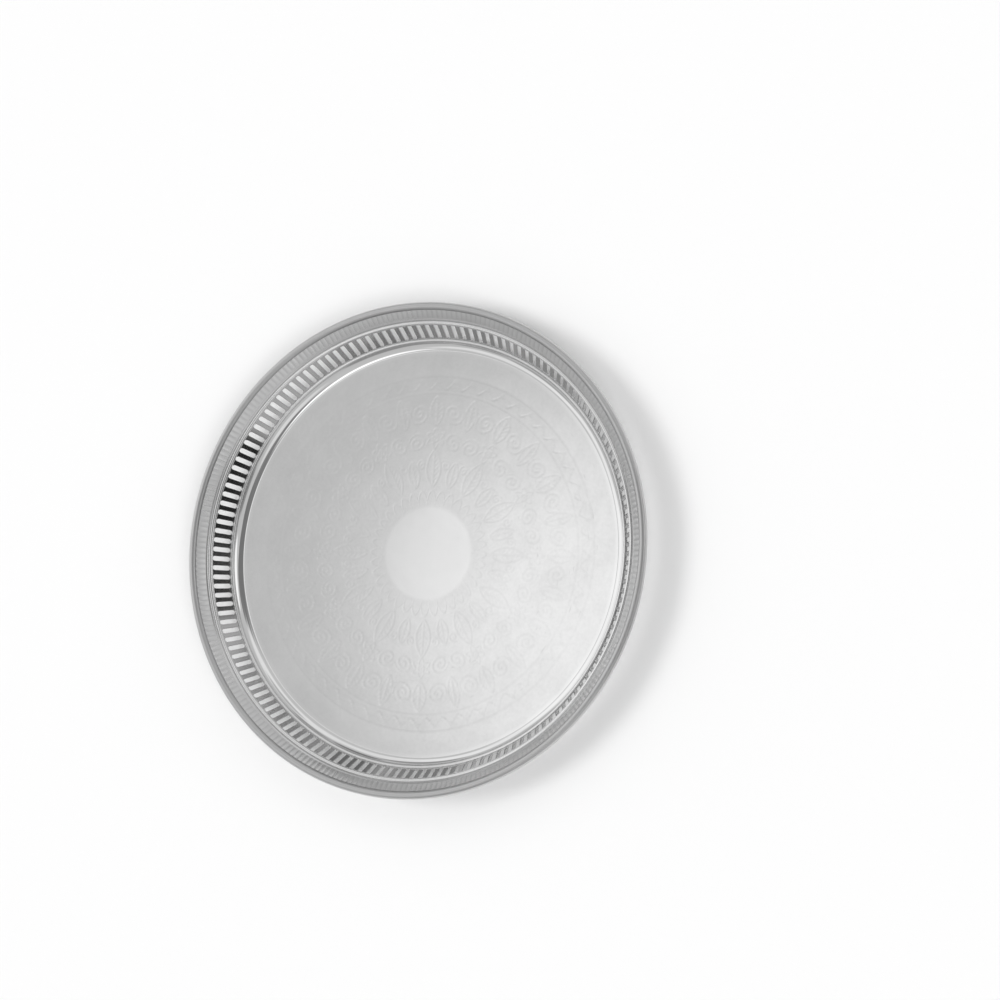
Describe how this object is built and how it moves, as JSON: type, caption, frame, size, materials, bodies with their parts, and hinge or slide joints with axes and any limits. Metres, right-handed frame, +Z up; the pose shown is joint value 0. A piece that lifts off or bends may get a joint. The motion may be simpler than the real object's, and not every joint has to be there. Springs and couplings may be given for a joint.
{
  "type": "gallery tray",
  "caption": "Round polished metal serving tray with a flat floor, a pierced gallery wall between bead wires, and a sloping rim with a reeded border and a wired edge.",
  "frame": {"origin": "centre of the tray on the plane that its foot ring stands on", "axes": "+Z up along the tray's axis; the tray is round, so +X and +Y lie in the resting plane in any direction"},
  "size_m": [0.305, 0.305, 0.0268],
  "materials": {
    "polished_floor": "mirror polish with fine chased ornament",
    "polished_sheet": "mirror polish",
    "plated_wire": "bright plating",
    "reeded_strip": "bright plating, darker in the grooves",
    "inner_wire": "drawn wire"
  },
  "bodies": {
    "root": {"base_plate": "polished_floor", "foot_ring": "plated_wire", "gallery_band": "polished_sheet", "lower_bead": "plated_wire", "upper_bead": "plated_wire", "rim_flange": "polished_sheet", "reeded_border": "reeded_strip", "edge_wire": "inner_wire"}
  },
  "joints": []
}
